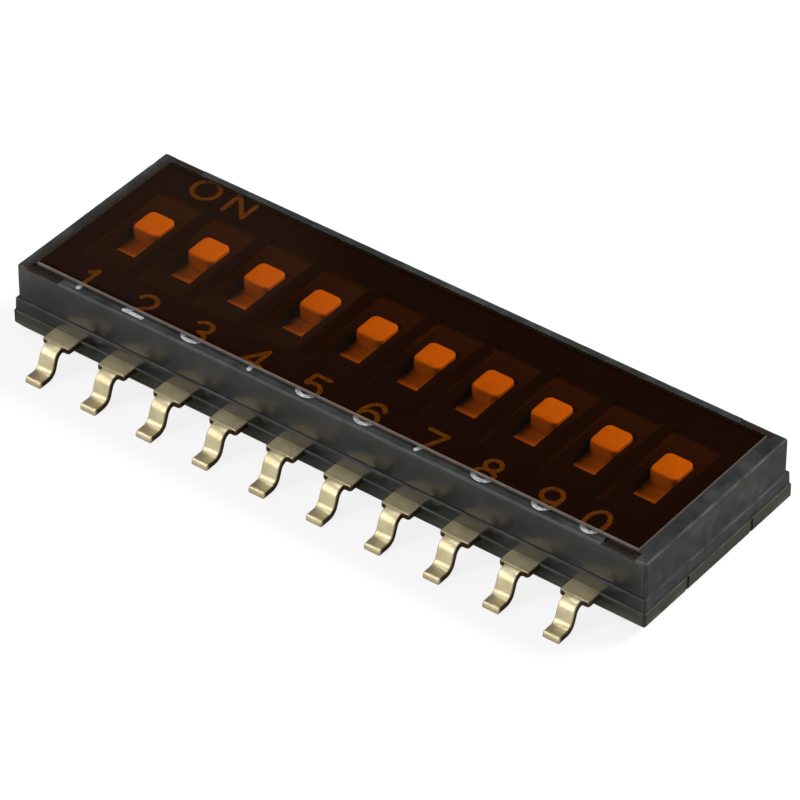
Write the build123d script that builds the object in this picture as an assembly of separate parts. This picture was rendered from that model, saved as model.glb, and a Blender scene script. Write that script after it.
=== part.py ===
from build123d import *
import math
import os

# Half-pitch slide dip switch for surface mounting, in millimetres.
# X runs along the row of poles, Y points to the on side, Z is up from the solder plane.

# Row of poles
POLES = 10
PITCH = 1.27
END_MARGIN = 1.185

# Heights of the stack, from the board upwards
STANDOFF = 0.13
LOWER_TIER_HEIGHT = 0.41
UPPER_TIER_HEIGHT = 0.27
COVER_HEIGHT = 0.74
TAPE_THICKNESS = 0.06

# Outline of the housing
COVER_WIDTH = 4.26
UPPER_STEP = 0.04
LOWER_STEP = 0.03
CORNER_CHAMFER = 0.10
BOTTOM_BEVEL_HEIGHT = 0.14
BOTTOM_BEVEL_ANGLE = 38.0
CUT_OVERRUN = 0.2

# Cover
TOP_EDGE_RADIUS = 0.06
ROOF_THICKNESS = 0.33
RECESS_RIB = 0.24
RECESS_LENGTH = 2.37
RECESS_DEPTH = 0.06
WINDOW_LENGTH = 1.30
DIVIDER_WALL = 0.21
LIP_WALL = 0.15
CORNER_RELIEF_POST = 0.24
CORNER_RELIEF_LENGTH = 0.72
CORNER_RELIEF_DEPTH = 0.035

# Base
LIP_CLEARANCE = 0.02
END_NOTCH_SPREAD = 1.92
END_NOTCH_WIDTH = 0.10
END_NOTCH_DEPTH = 0.05
UNDERSIDE_RIM = 0.45
UNDERSIDE_RECESS = 0.06

# Sealing tape
TAPE_END_INSET = 0.30
TAPE_SIDE_INSET = 0.22

# Slides
SLIDE_CLEARANCE = 0.015
SIDE_CLEARANCE = 0.03
END_CLEARANCE = 0.03
PLATE_END_CLEARANCE = 0.10
KNOB_WIDTH = 0.58
KNOB_LENGTH = 0.62
KNOB_CORNER = 0.09
KNOB_EDGE = 0.045
PLATE_LENGTH = 2.40
PLATE_THICKNESS = 0.30
PLATE_CORNER = 0.06
SKIRT_WALL = 0.12
FLOOR_CLEARANCE = 0.05

# Wipers and the stakes that hold them
WIPER_THICKNESS = 0.05
WIPER_WIDTH = 0.46
WIPER_BEND = 0.07
WIPER_SLOT = 0.10
SEAT_LENGTH = 0.46
CONTACT_SPACING = 1.10
CONTACT_LENGTH = 0.14
CONTACT_CLEARANCE = 0.01
TIP_LENGTH = 0.22
TIP_RISE = 0.11
STAKE_WIDTH = 0.20
STAKE_HEAD_WIDTH = 0.30
STAKE_HEAD_HEIGHT = 0.04
STAKE_CLEARANCE = 0.01

# Leads
LEAD_THICKNESS = 0.12
LEG_WIDTH = 0.36
SHOULDER_WIDTH = 0.63
SHOULDER_REACH = 0.315
LEG_LEAN = 20.0
LEAD_BEND = 0.135
FOOT_LENGTH = 0.43
FRONT_PAD_END = 0.05
BACK_PAD_END = 0.60

# Places worked out from the sizes above
ROW_SPAN = (POLES - 1) * PITCH
POLE_PLACES = [index * PITCH - ROW_SPAN / 2 for index in range(POLES)]

COVER_LENGTH = ROW_SPAN + 2 * END_MARGIN
UPPER_LENGTH = COVER_LENGTH + 2 * UPPER_STEP
UPPER_WIDTH = COVER_WIDTH + 2 * UPPER_STEP
LOWER_LENGTH = UPPER_LENGTH + 2 * LOWER_STEP
LOWER_WIDTH = UPPER_WIDTH + 2 * LOWER_STEP

FLOOR = STANDOFF + LOWER_TIER_HEIGHT
SEAM = FLOOR + UPPER_TIER_HEIGHT
COVER_TOP = SEAM + COVER_HEIGHT
ROOF = COVER_TOP - ROOF_THICKNESS
TAPE_TOP = COVER_TOP + TAPE_THICKNESS

TRAVEL = WINDOW_LENGTH - KNOB_LENGTH - 2 * END_CLEARANCE
ON_PLACE = TRAVEL / 2
WINDOW_WIDTH = KNOB_WIDTH + 2 * SIDE_CLEARANCE
RECESS_WIDTH = PITCH - RECESS_RIB
CHANNEL_WIDTH = PITCH - DIVIDER_WALL
CHANNEL_LENGTH = PLATE_LENGTH + TRAVEL + 2 * PLATE_END_CLEARANCE
LIP_LENGTH = ROW_SPAN + CHANNEL_WIDTH + 2 * LIP_WALL
LIP_WIDTH = CHANNEL_LENGTH + 2 * LIP_WALL

PLATE_WIDTH = CHANNEL_WIDTH - 2 * SIDE_CLEARANCE
PLATE_TOP = ROOF - SLIDE_CLEARANCE
PLATE_BOTTOM = PLATE_TOP - PLATE_THICKNESS
KNOB_TOP = COVER_TOP - SLIDE_CLEARANCE

SHOULDER_END = LOWER_WIDTH / 2 + SHOULDER_REACH
KNEE = SHOULDER_END + LEAD_BEND * math.tan(math.radians(90 - LEG_LEAN) / 2)
HEEL = KNEE + (FLOOR - LEAD_THICKNESS) * math.tan(math.radians(LEG_LEAN))
TOE = HEEL + FOOT_LENGTH


def slab(length, width, low, high):
    """Block centred on the Z axis between two levels."""
    return Pos(0, 0, low) * Box(length, width, high - low, align=(Align.CENTER, Align.CENTER, Align.MIN))


def chamfered_slab(length, width, size, low, high):
    """Block with chamfered upright edges, centred on the Z axis between two levels."""
    return chamfer(slab(length, width, low, high).edges().filter_by(Axis.Z), size)


def at_poles(piece):
    """One copy of a piece on each pole's axis."""
    return [Pos(place, 0, 0) * piece for place in POLE_PLACES]


def make_lead(pad_end):
    """Gull-wing lead of the +Y row: a flat blank with the contact pad, then the leg and the foot."""
    middle = FLOOR - LEAD_THICKNESS / 2
    foot_middle = LEAD_THICKNESS / 2
    bends = FilletPolyline(
        (SHOULDER_END - SHOULDER_REACH, middle),
        (KNEE, middle),
        (HEEL, foot_middle),
        (TOE, foot_middle),
        radius=LEAD_BEND,
    )
    leg = extrude(Plane.YZ * trace(bends, LEAD_THICKNESS), LEG_WIDTH / 2, both=True)
    blank_length = SHOULDER_END - pad_end
    blank = Pos(0, pad_end + blank_length / 2, 0) * slab(
        SHOULDER_WIDTH, blank_length, FLOOR - LEAD_THICKNESS, FLOOR
    )
    return blank + leg


def make_base(leads):
    """Two-tier tray with a pocket for the lid's lip and a seat moulded round every lead."""
    bevel_top = STANDOFF + BOTTOM_BEVEL_HEIGHT
    lower = chamfered_slab(LOWER_LENGTH, LOWER_WIDTH, CORNER_CHAMFER, bevel_top, FLOOR)
    bevel = extrude(lower.faces().sort_by(Axis.Z)[0], BOTTOM_BEVEL_HEIGHT, taper=BOTTOM_BEVEL_ANGLE)
    upper = chamfered_slab(UPPER_LENGTH, UPPER_WIDTH, CORNER_CHAMFER, FLOOR, SEAM)
    pocket = slab(
        LIP_LENGTH + 2 * LIP_CLEARANCE, LIP_WIDTH + 2 * LIP_CLEARANCE, FLOOR, SEAM + CUT_OVERRUN
    )
    underside = slab(
        LOWER_LENGTH - 2 * UNDERSIDE_RIM,
        LOWER_WIDTH - 2 * UNDERSIDE_RIM,
        STANDOFF - CUT_OVERRUN,
        STANDOFF + UNDERSIDE_RECESS,
    )
    notch = slab(2 * END_NOTCH_DEPTH, END_NOTCH_WIDTH, STANDOFF - CUT_OVERRUN, FLOOR)
    notches = [
        Pos(end * LOWER_LENGTH / 2, side * END_NOTCH_SPREAD / 2, 0) * notch
        for end in (-1, 1)
        for side in (-1, 1)
    ]
    return lower + bevel + upper - pocket - underside - notches - leads


def make_cover():
    """Lid with a lip below, a channel for each slide, and a recess and a window above it."""
    shell = chamfered_slab(COVER_LENGTH, COVER_WIDTH, CORNER_CHAMFER, SEAM, COVER_TOP)
    shell = fillet(shell.faces().sort_by(Axis.Z)[-1].edges(), TOP_EDGE_RADIUS)
    lip = slab(LIP_LENGTH, LIP_WIDTH, FLOOR + LIP_CLEARANCE, SEAM)
    channel = slab(CHANNEL_WIDTH, CHANNEL_LENGTH, FLOOR - CUT_OVERRUN, ROOF)
    recess = slab(RECESS_WIDTH, RECESS_LENGTH, COVER_TOP - RECESS_DEPTH, COVER_TOP + CUT_OVERRUN)
    window = slab(WINDOW_WIDTH, WINDOW_LENGTH, ROOF - CUT_OVERRUN, COVER_TOP + CUT_OVERRUN)
    relief = slab(
        CORNER_RELIEF_LENGTH,
        2 * TAPE_SIDE_INSET,
        COVER_TOP - CORNER_RELIEF_DEPTH,
        COVER_TOP + CUT_OVERRUN,
    )
    relief_place = COVER_LENGTH / 2 - CORNER_RELIEF_POST - CORNER_RELIEF_LENGTH / 2
    reliefs = [
        Pos(end * relief_place, side * COVER_WIDTH / 2, 0) * relief
        for end in (-1, 1)
        for side in (-1, 1)
    ]
    return shell + lip - at_poles(channel) - at_poles(recess) - at_poles(window) - reliefs


def make_seal_tape():
    """Film glued on the lid, a little smaller than its flat top."""
    length = COVER_LENGTH - 2 * TAPE_END_INSET
    width = COVER_WIDTH - 2 * TAPE_SIDE_INSET
    return slab(length, width, COVER_TOP, TAPE_TOP)


def make_slider():
    """Slide in the middle of its travel: plate, two skirts, knob, and the stake for the wiper."""
    body = chamfered_slab(PLATE_WIDTH, PLATE_LENGTH, PLATE_CORNER, FLOOR + FLOOR_CLEARANCE, PLATE_TOP)
    hollow = slab(
        PLATE_WIDTH - 2 * SKIRT_WALL, PLATE_LENGTH + CUT_OVERRUN, FLOOR - CUT_OVERRUN, PLATE_BOTTOM
    )
    outline = RectangleRounded(KNOB_WIDTH, KNOB_LENGTH, KNOB_CORNER)
    knob = extrude(Pos(0, 0, PLATE_TOP) * outline, KNOB_TOP - PLATE_TOP)
    knob = chamfer(knob.faces().sort_by(Axis.Z)[-1].edges(), KNOB_EDGE)
    head_top = PLATE_BOTTOM - WIPER_THICKNESS
    stem = slab(STAKE_WIDTH, STAKE_WIDTH, head_top, PLATE_BOTTOM)
    head = slab(STAKE_HEAD_WIDTH, STAKE_HEAD_WIDTH, head_top - STAKE_HEAD_HEIGHT, head_top)
    return body - hollow + knob + stem + head


def make_wiper():
    """Bridging spring: a seat on the stake and two split arms that bow down to the pads."""
    seat = PLATE_BOTTOM - WIPER_THICKNESS / 2
    contact = FLOOR + CONTACT_CLEARANCE + WIPER_THICKNESS / 2
    inner = CONTACT_SPACING / 2 - CONTACT_LENGTH / 2
    outer = CONTACT_SPACING / 2 + CONTACT_LENGTH / 2
    arm = [
        (SEAT_LENGTH / 2, seat),
        (inner, contact),
        (outer, contact),
        (outer + TIP_LENGTH, contact + TIP_RISE),
    ]
    mirrored = [(-place, level) for place, level in reversed(arm)]
    strip = trace(FilletPolyline(*mirrored, *arm, radius=WIPER_BEND), WIPER_THICKNESS)
    spring = extrude(Plane.YZ * strip, WIPER_WIDTH / 2, both=True)
    slot_length = outer + TIP_LENGTH + CUT_OVERRUN - inner
    slot = slab(WIPER_SLOT, slot_length, FLOOR, PLATE_BOTTOM)
    slots = [Pos(0, end * (inner + slot_length / 2), 0) * slot for end in (-1, 1)]
    hole_width = STAKE_WIDTH + 2 * STAKE_CLEARANCE
    return spring - slots - slab(hole_width, hole_width, FLOOR, PLATE_BOTTOM + CUT_OVERRUN)


def make_nodes():
    """Every piece of the switch in its place, by name, with the slides in the on place."""
    back_leads = at_poles(make_lead(BACK_PAD_END))
    front_leads = at_poles(Rot(0, 0, 180) * make_lead(FRONT_PAD_END))
    nodes = {
        "base": make_base(front_leads + back_leads),
        "cover": make_cover(),
        "seal_tape": make_seal_tape(),
    }
    rows = {
        "front_lead": front_leads,
        "back_lead": back_leads,
        "slider": at_poles(Pos(0, ON_PLACE, 0) * make_slider()),
        "wiper": at_poles(Pos(0, ON_PLACE, 0) * make_wiper()),
    }
    for name, pieces in rows.items():
        for number, piece in enumerate(pieces, start=1):
            nodes[f"{name}_{number:02d}"] = piece
    return nodes


os.makedirs("parts", exist_ok=True)
for node, solid in make_nodes().items():
    export_step(solid, f"parts/{node}.step")
print(f"travel {TRAVEL:.3f} mm, lead span {2 * TOE:.2f} mm, height {TAPE_TOP:.2f} mm")
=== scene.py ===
# %% [markdown]
# # A ten-pole dip switch under amber film
#
# The switch is 14 mm long: a black moulded base and lid, ten white slides under a strip of amber
# film, and twenty gold-plated leads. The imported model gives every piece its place. This lesson
# makes the surfaces that the eye rests on, with numpy, and finishes them with node materials.

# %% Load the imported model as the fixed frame
import math

import bmesh
import bpy
import numpy as np
from mathutils import Matrix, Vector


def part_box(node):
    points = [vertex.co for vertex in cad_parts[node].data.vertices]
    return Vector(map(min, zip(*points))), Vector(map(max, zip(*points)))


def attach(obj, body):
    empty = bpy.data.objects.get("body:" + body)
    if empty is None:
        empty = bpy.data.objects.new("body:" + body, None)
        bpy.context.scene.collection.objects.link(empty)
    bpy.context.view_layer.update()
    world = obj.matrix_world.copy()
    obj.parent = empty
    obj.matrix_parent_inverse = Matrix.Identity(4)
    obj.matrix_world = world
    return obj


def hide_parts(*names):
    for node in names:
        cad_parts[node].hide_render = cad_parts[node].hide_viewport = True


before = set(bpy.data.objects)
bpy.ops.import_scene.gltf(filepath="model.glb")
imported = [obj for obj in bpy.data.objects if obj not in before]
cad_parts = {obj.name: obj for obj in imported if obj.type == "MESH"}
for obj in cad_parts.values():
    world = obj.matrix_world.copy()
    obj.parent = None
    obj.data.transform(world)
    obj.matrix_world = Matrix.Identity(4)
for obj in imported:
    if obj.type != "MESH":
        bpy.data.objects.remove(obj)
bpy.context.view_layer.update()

# %% [markdown]
# ## Sizes
#
# A millimetre is the natural unit here, so shapes are worked out in millimetres and turned to
# metres only when they become a mesh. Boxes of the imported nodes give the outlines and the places
# of the poles; the few sizes that a box can't tell are written once, where they are needed.

# %% Read the places of the pieces
MM = 0.001
NUMBERS = [f"{number:02d}" for number in range(1, 11)]


def box_mm(node):
    """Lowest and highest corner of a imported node, in millimetres."""
    return tuple(np.array(corner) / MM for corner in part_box(node))


base_low, base_high = box_mm("base")
cover_low, cover_high = box_mm("cover")
film_low, film_high = box_mm("seal_tape")
lead_low, lead_high = box_mm("back_lead_01")
pole_places = np.array([np.mean(box_mm(f"slider_{number}"), axis=0)[0] for number in NUMBERS])
floor_level = lead_high[2]
seam_level = base_high[2]
cover_top = cover_high[2]
print("poles at", np.round(pole_places, 3), "lid top", round(cover_top, 3))

# %% [markdown]
# ## From arrays to meshes
#
# Every piece below is a set of grids of points. Grids that share an edge are welded by rounding
# their coordinates and keeping one point of each, so seams and tips close without any cleaning
# by hand. A square that loses a corner in the weld becomes a triangle, and one that loses two goes.

# %% Helpers that turn grids into a piece
WELD = 1e-5
SHARP_ANGLE = math.radians(35)


def grid_faces(rows, columns, closed=False):
    """Squares of a grid of points; closed joins the last column to the first."""
    i = np.arange(rows - 1)[:, None]
    j = np.arange(columns if closed else columns - 1)[None, :]
    k = (j + 1) % columns
    corners = [i * columns + j, i * columns + k, (i + 1) * columns + k, (i + 1) * columns + j]
    return np.stack(np.broadcast_arrays(*corners), -1).reshape(-1, 4)


def join(*grids):
    """Several (points, faces) as one, the later faces counted on from the earlier points."""
    starts = np.cumsum([0] + [len(points) for points, _ in grids[:-1]])
    points = np.concatenate([points for points, _ in grids])
    faces = np.concatenate([faces + start for (_, faces), start in zip(grids, starts)])
    return points, faces


def add_piece(name, points, faces, materials, body="housing", finish=None, stands_for=(),
              face_materials=None, **values):
    """Welds points (millimetres) and squares into a mesh that rides on a body.
    Values given by name become attributes of its points."""
    _, first, index = np.unique(np.round(points / WELD).astype(np.int64), axis=0,
                                return_index=True, return_inverse=True)
    faces = index.reshape(-1)[faces]
    slots = np.zeros(len(faces), int) if face_materials is None else face_materials
    repeated = faces == np.roll(faces, -1, axis=1)
    lost = repeated.sum(1)
    squares, thin = lost == 0, lost == 1
    triangles = faces[thin][~repeated[thin]].reshape(-1, 3)
    mesh = bpy.data.meshes.new(name)
    mesh.from_pydata(points[first] * MM, [], faces[squares].tolist() + triangles.tolist())
    slots = np.concatenate([slots[squares], slots[thin]]).astype(np.int32)
    mesh.polygons.foreach_set("material_index", slots)
    for key, value in values.items():
        kind, field = ("FLOAT", "value") if value.ndim == 1 else ("FLOAT_VECTOR", "vector")
        layer = mesh.attributes.new(key, kind, "POINT")
        layer.data.foreach_set(field, np.ascontiguousarray(value[first], np.float32).ravel())
    shape = bmesh.new()
    shape.from_mesh(mesh)
    bmesh.ops.recalc_face_normals(shape, faces=shape.faces)
    shape.to_mesh(mesh)
    shape.free()
    mesh.polygons.foreach_set("use_smooth", np.ones(len(mesh.polygons), bool))
    mesh.set_sharp_from_angle(angle=SHARP_ANGLE)
    for material in materials:
        mesh.materials.append(material)
    piece = bpy.data.objects.new(name, mesh)
    bpy.context.scene.collection.objects.link(piece)
    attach(piece, body)
    if stands_for:
        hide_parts(*stands_for)


# %% [markdown]
# ## Finishes
#
# Five real materials show: black glass-filled plastic, amber film, white slide plastic, plated
# copper alloy and white marking ink. Colours are sRGB hex values, as a colour picker gives them,
# and one function makes them linear. Patterns are set by a real size in millimetres.

# %% Helpers for the finishes


def linear(hex_code):
    """Linear colour of an sRGB hex value: ((c + 0.055) / 1.055) ** 2.4 above the straight toe."""
    share = np.array([int(hex_code[place:place + 2], 16) for place in (1, 3, 5)]) / 255
    curve = np.where(share <= 0.04045, share / 12.92, ((share + 0.055) / 1.055) ** 2.4)
    return (*curve.tolist(), 1.0)


def add_node(tree, kind, inputs=None, **settings):
    """Adds a shader node; inputs are values or the sockets that feed it, settings its properties."""
    made = tree.nodes.new("ShaderNode" + kind)
    for key, value in settings.items():
        setattr(made, key, value)
    for key, value in (inputs or {}).items():
        if isinstance(value, bpy.types.NodeSocket):
            tree.links.new(value, made.inputs[key])
        else:
            made.inputs[key].default_value = value
    return made


def mix(tree, share, first, second):
    """Colour that goes from the first to the second as the share goes from 0 to 1."""
    return add_node(tree, "Mix", {0: share, 6: first, 7: second}, data_type="RGBA").outputs[2]


def work_out(tree, operation, *values):
    """Result of one Math node."""
    return add_node(tree, "Math", dict(enumerate(values)), operation=operation).outputs[0]


def stretch(tree, value, low, high, start=0.0, end=1.0):
    """Value moved from the range low to high onto the range start to end, and held at its ends."""
    return add_node(tree, "MapRange", {"Value": value, 1: low, 2: high, 3: start, 4: end}).outputs[0]


def noise(tree, size, detail, place=None, unit=MM):
    """Cloudy pattern from 0 to 1, fixed to the piece, with clouds of a size in millimetres.
    Another place may be given instead of the piece's own, with the unit that it counts in."""
    if place is None:
        place = add_node(tree, "TexCoord").outputs["Object"]
    inputs = {"Vector": place, "Scale": 1 / (size * unit), "Detail": detail}
    return add_node(tree, "TexNoise", inputs).outputs["Fac"]


def carried(tree, name):
    """A value that the mesh carries at its points."""
    return add_node(tree, "Attribute", attribute_name=name).outputs["Fac"]


def new_material(name):
    """An empty node material and its tree."""
    material = bpy.data.materials.new(name)
    material.use_nodes = True
    material.node_tree.nodes.clear()
    return material, material.node_tree


def show(tree, shader):
    """Puts a shader on the surface."""
    add_node(tree, "OutputMaterial", {"Surface": shader.outputs[0]})


# %% [markdown]
# ### Black moulded plastic
#
# The housing is a glass-filled plastic, moulded black. Up close it isn't one black: the skin is
# mottled, its tops are painted paler than its walls as painted light, fine handling scratches
# cross the walls, and the edges are grey and dull, partly rubbed and partly a painted highlight.
# A painted image could show that, but noise in real sizes fits any face. The meshes say where
# each mark goes: "edge" is 1 on a rounded edge, "bare" is 1 where no film lies on the plastic,
# one more value marks faces painted paler as painted light, and another marks dark brown that is
# partly dried glue and partly painted shade. The long walls are glossy and mirror the leads. The
# two ends are scuffed, so they get a duller finish.

# %% Make the two black finishes
SCRATCH_TILTS_AND_LENGTHS = ((0.03, 1.4), (-0.08, 0.9), (0.22, 0.6))  # radians, millimetres
SCRATCH_WIDTH = 0.02
SCRATCH_STRENGTH = 0.32
LEAST_EDGE_GREY = 0.12
SHEEN_VARIATION = 0.05
EDGE_DULLING = 0.7
GRAIN_DEPTH = 0.006


def make_black_plastic(name, wall_shades, gloss, rough, wear_and_highlight):
    """Glass-filled plastic, moulded: soft sheen, faint mottling, scratches, and grey edges that are
    partly rubbed and partly a painted highlight.
    """
    material, tree = new_material(name)
    coords = add_node(tree, "TexCoord")
    mottle = noise(tree, 0.9, detail=4.0)
    smudge = noise(tree, 0.3, detail=4.0)
    uneven = stretch(tree, work_out(tree, "MULTIPLY", mottle, smudge), 0.12, 0.42)
    normal = add_node(tree, "SeparateXYZ", {0: coords.outputs["Normal"]})
    upright = work_out(tree, "COMPARE", normal.outputs["Z"], 0.0, 0.6)
    # Painted light: tops get a paler colour than walls, as a lit top would show.
    painted_lit_top = mix(tree, uneven, linear("#202121"), linear("#3a3b3b"))
    wall = mix(tree, uneven, *map(linear, wall_shades))
    skin = mix(tree, upright, painted_lit_top, wall)
    bare = carried(tree, "bare")
    colour = mix(tree, bare, linear("#191919"), skin)
    # Painted light: faces marked by this value are painted paler.
    colour = mix(tree, carried(tree, "painted_light"), colour, linear("#34342b"))
    # Dark brown, partly dried glue and partly painted shade.
    colour = mix(tree, carried(tree, "glue_and_shade"), colour, linear("#221a15"))

    parts = add_node(tree, "SeparateXYZ", {0: coords.outputs["Object"]})
    round_the_walls = work_out(tree, "ADD", parts.outputs["X"], parts.outputs["Y"])
    unrolled = add_node(tree, "CombineXYZ", {"X": round_the_walls, "Y": parts.outputs["Z"]})
    scratches = 0.0
    for tilt, length in SCRATCH_TILTS_AND_LENGTHS:
        drawn_out = add_node(tree, "Mapping", {
            "Vector": unrolled.outputs[0], "Rotation": (0, 0, tilt),
            "Scale": (length * MM, SCRATCH_WIDTH * MM, MM)}, vector_type="TEXTURE")
        streak = noise(tree, 1.0, detail=2.0, place=drawn_out.outputs[0], unit=1.0)
        scratch = stretch(tree, streak, 0.62, 0.9, end=SCRATCH_STRENGTH)
        scratches = work_out(tree, "MAXIMUM", scratches, scratch)
    on_walls = work_out(tree, "MULTIPLY", scratches, upright)
    edge = carried(tree, "edge")
    spots = stretch(tree, noise(tree, 0.5, detail=4.0), 0.42, 0.72, start=LEAST_EDGE_GREY)
    # Grey edges: partly real rubbing, partly a painted highlight along the edges.
    rubbed_and_highlit = work_out(tree, "MULTIPLY", edge, spots)
    marked = work_out(tree, "MAXIMUM", rubbed_and_highlit, on_walls)
    faint = work_out(tree, "MULTIPLY", marked, wear_and_highlight)
    handled_and_highlit = work_out(tree, "MULTIPLY", faint, bare)
    worn_and_highlit = mix(tree, handled_and_highlit, colour, linear("#7e8080"))
    sheen = stretch(tree, mottle, 0.3, 0.7, rough - SHEEN_VARIATION, rough + SHEEN_VARIATION)
    dulled = work_out(tree, "MULTIPLY_ADD", edge, EDGE_DULLING, sheen)
    grain = noise(tree, 0.05, detail=3.0)
    relief = add_node(tree, "Bump", {"Height": grain, "Strength": 0.2, "Distance": GRAIN_DEPTH * MM})
    shader = add_node(tree, "BsdfPrincipled", {
        "Base Color": worn_and_highlit, "Roughness": dulled, "Normal": relief.outputs[0],
        "IOR": 1.5, "Specular IOR Level": gloss})
    show(tree, shader)
    return material


black_plastic = make_black_plastic("moulded_black_plastic", ("#141515", "#292a2a"),
                                   gloss=0.6, rough=0.21, wear_and_highlight=0.45)
end_plastic = make_black_plastic("scuffed_black_plastic", ("#1f2020", "#3a3b3b"),
                                 gloss=0.05, rough=0.45, wear_and_highlight=0.42)
print("finishes", black_plastic.name, end_plastic.name)

# %% [markdown]
# ### Amber film
#
# The seal is polyimide film. Light goes through it and comes out orange, and its smooth face
# mirrors a little. A Transparent shader gives the tint without bending light, so lamps reach the
# slides below. A Glossy shader, mixed in more the flatter one looks along the film, gives the
# mirror. The film has two faces, so each takes half of the tint. Its under face mirrors too, but
# only over the recesses, where there is air below it: glued to the lid it has nothing to mirror
# from. The cut edge is matt and has a finish of its own, with a painted highlight where it faces
# the front and painted shade where it is seen from within.

# %% Make the film's four finishes
RIPPLE_HEIGHT = 0.01


def make_film(name, mirrors):
    """One face of the amber film: tinted and clear, mirroring a share m + (1 - m)(1 - cos a)^5."""
    material, tree = new_material(name)
    haze = noise(tree, 1.6, detail=4.0)
    tint = mix(tree, haze, linear("#eabf66"), linear("#f0c76e"))
    clear = add_node(tree, "BsdfTransparent", {"Color": tint})
    surface = clear
    if mirrors:
        ripple = noise(tree, 0.7, detail=2.0)
        relief = add_node(tree, "Bump", {"Height": ripple, "Strength": 0.3,
                                         "Distance": RIPPLE_HEIGHT * MM})
        facing = add_node(tree, "LayerWeight", {"Blend": 0.5, "Normal": relief.outputs[0]})
        glance = work_out(tree, "POWER", facing.outputs["Facing"], 5.0)
        share = work_out(tree, "MULTIPLY_ADD", glance, 1 - mirrors, mirrors)
        gloss = add_node(tree, "BsdfGlossy", {"Roughness": 0.10, "Normal": relief.outputs[0],
                                              "Color": linear("#efe6cf")})
        surface = add_node(tree, "MixShader", {0: share, 1: clear.outputs[0], 2: gloss.outputs[0]})
    show(tree, surface)
    return material


def make_film_edge():
    """Cut edge of the film: matt, a painted highlight where it faces the front, dark elsewhere,
    and painted shade from within.
    """
    material, tree = new_material("film_cut_edge")
    nicks = noise(tree, 0.25, detail=3.0)
    painted_highlight = mix(tree, nicks, linear("#64574f"), linear("#92867f"))
    normal = add_node(tree, "SeparateXYZ", {0: add_node(tree, "TexCoord").outputs["Normal"]})
    # Painted highlight: the cut edge is painted pale where it faces the front.
    front_highlight_share = stretch(tree, normal.outputs["Y"], -0.1, -0.4)
    cut = mix(tree, front_highlight_share, linear("#3e3733"), painted_highlight)
    # Painted shade: seen from within the film, the cut edge is painted near black.
    shade_from_within = add_node(tree, "NewGeometry").outputs["Backfacing"]
    colour = mix(tree, shade_from_within, cut, linear("#140b06"))
    shader = add_node(tree, "BsdfPrincipled", {"Base Color": colour, "Roughness": 0.75,
                                               "Specular IOR Level": 0.2})
    show(tree, shader)
    return material


film_face = make_film("amber_film_face", mirrors=0.04)
film_open = make_film("amber_film_over_air", mirrors=0.05)
film_glued = make_film("amber_film_glued", mirrors=0)
film_edge = make_film_edge()
print("finishes", film_face.name, film_open.name, film_glued.name, film_edge.name)

# %% [markdown]
# ### White slides, white ink and plated metal
#
# The slides are plain white moulded plastic; all their orange comes from the film. The ink is
# printed thin over black, so it looks grey and cool, and darker where the film's glue has wetted it.
# The leads are copper alloy strip, rolled, plated pale gold and then sheared, so their faces are
# bright with faint rolling lines along the strip, and their sheared sides are browner. The lead
# meshes carry "strip", the place across and along the strip in millimetres, "sheared", which is 1 on
# the sides, and "matt", which is 1 on the flat shoulder and foot and 0 on the leg, where bending has
# burnished the plating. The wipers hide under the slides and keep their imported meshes.

# %% Make the slide plastic, the ink and the metals
ROLLING_SIZES = (0.03, 0.6, 0.2)
ROLLING_DEPTH = 0.002
MATT_ROUGHENING = 0.08


def make_white_plastic():
    """Moulded white plastic of the slides: dull, a little warm and faintly uneven."""
    material, tree = new_material("moulded_white_plastic")
    cloud = noise(tree, 0.3, detail=3.0)
    colour = mix(tree, cloud, linear("#cbc8bd"), linear("#dfdcd3"))
    show(tree, add_node(tree, "BsdfPrincipled", {"Base Color": colour, "Roughness": 0.5}))
    return material


def make_ink():
    """Pad-printed white ink: matt, thin and a little starved in spots."""
    material, tree = new_material("printed_white_ink")
    cover = stretch(tree, noise(tree, 0.06, detail=3.0), 0.3, 0.6)
    sunk = mix(tree, cover, linear("#3f4c58"), linear("#688096"))
    dry = mix(tree, cover, linear("#66686a"), linear("#a4a6a8"))
    colour = mix(tree, carried(tree, "bare"), sunk, dry)
    show(tree, add_node(tree, "BsdfPrincipled", {"Base Color": colour, "Roughness": 0.6}))
    return material


def make_plated_strip():
    """Rolled copper alloy, plated pale gold: bright faces with rolling lines, brown sheared sides."""
    material, tree = new_material("pale_gold_plated_strip")
    strip = add_node(tree, "Attribute", attribute_name="strip").outputs["Vector"]
    scale = [1 / size for size in ROLLING_SIZES]
    drawn_out = add_node(tree, "Mapping", {"Vector": strip, "Scale": scale})
    lines = noise(tree, 1.0, detail=3.0, place=drawn_out.outputs[0], unit=1.0)
    stain = noise(tree, 0.25, detail=3.0, place=strip, unit=1.0)
    face = mix(tree, stain, linear("#ccb783"), linear("#f8eecc"))
    colour = mix(tree, carried(tree, "sheared"), face, linear("#5c4832"))
    polish = stretch(tree, lines, 0.3, 0.7, 0.32, 0.45)
    rough = work_out(tree, "MULTIPLY_ADD", carried(tree, "matt"), MATT_ROUGHENING, polish)
    relief = add_node(tree, "Bump", {"Height": lines, "Strength": 0.1, "Distance": ROLLING_DEPTH * MM})
    shader = add_node(tree, "BsdfPrincipled", {
        "Base Color": colour, "Metallic": 1.0, "Roughness": rough, "Normal": relief.outputs[0]})
    show(tree, shader)
    return material


def make_contact_gold():
    """Gold-plated spring strip of the wipers: deeper gold, fine drawn grain."""
    material, tree = new_material("gold_plated_spring")
    grain = noise(tree, 0.04, detail=2.0)
    rough = stretch(tree, grain, 0.0, 1.0, 0.2, 0.35)
    shader = add_node(tree, "BsdfPrincipled", {
        "Base Color": linear("#e2b968"), "Metallic": 1.0, "Roughness": rough})
    show(tree, shader)
    return material


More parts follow.
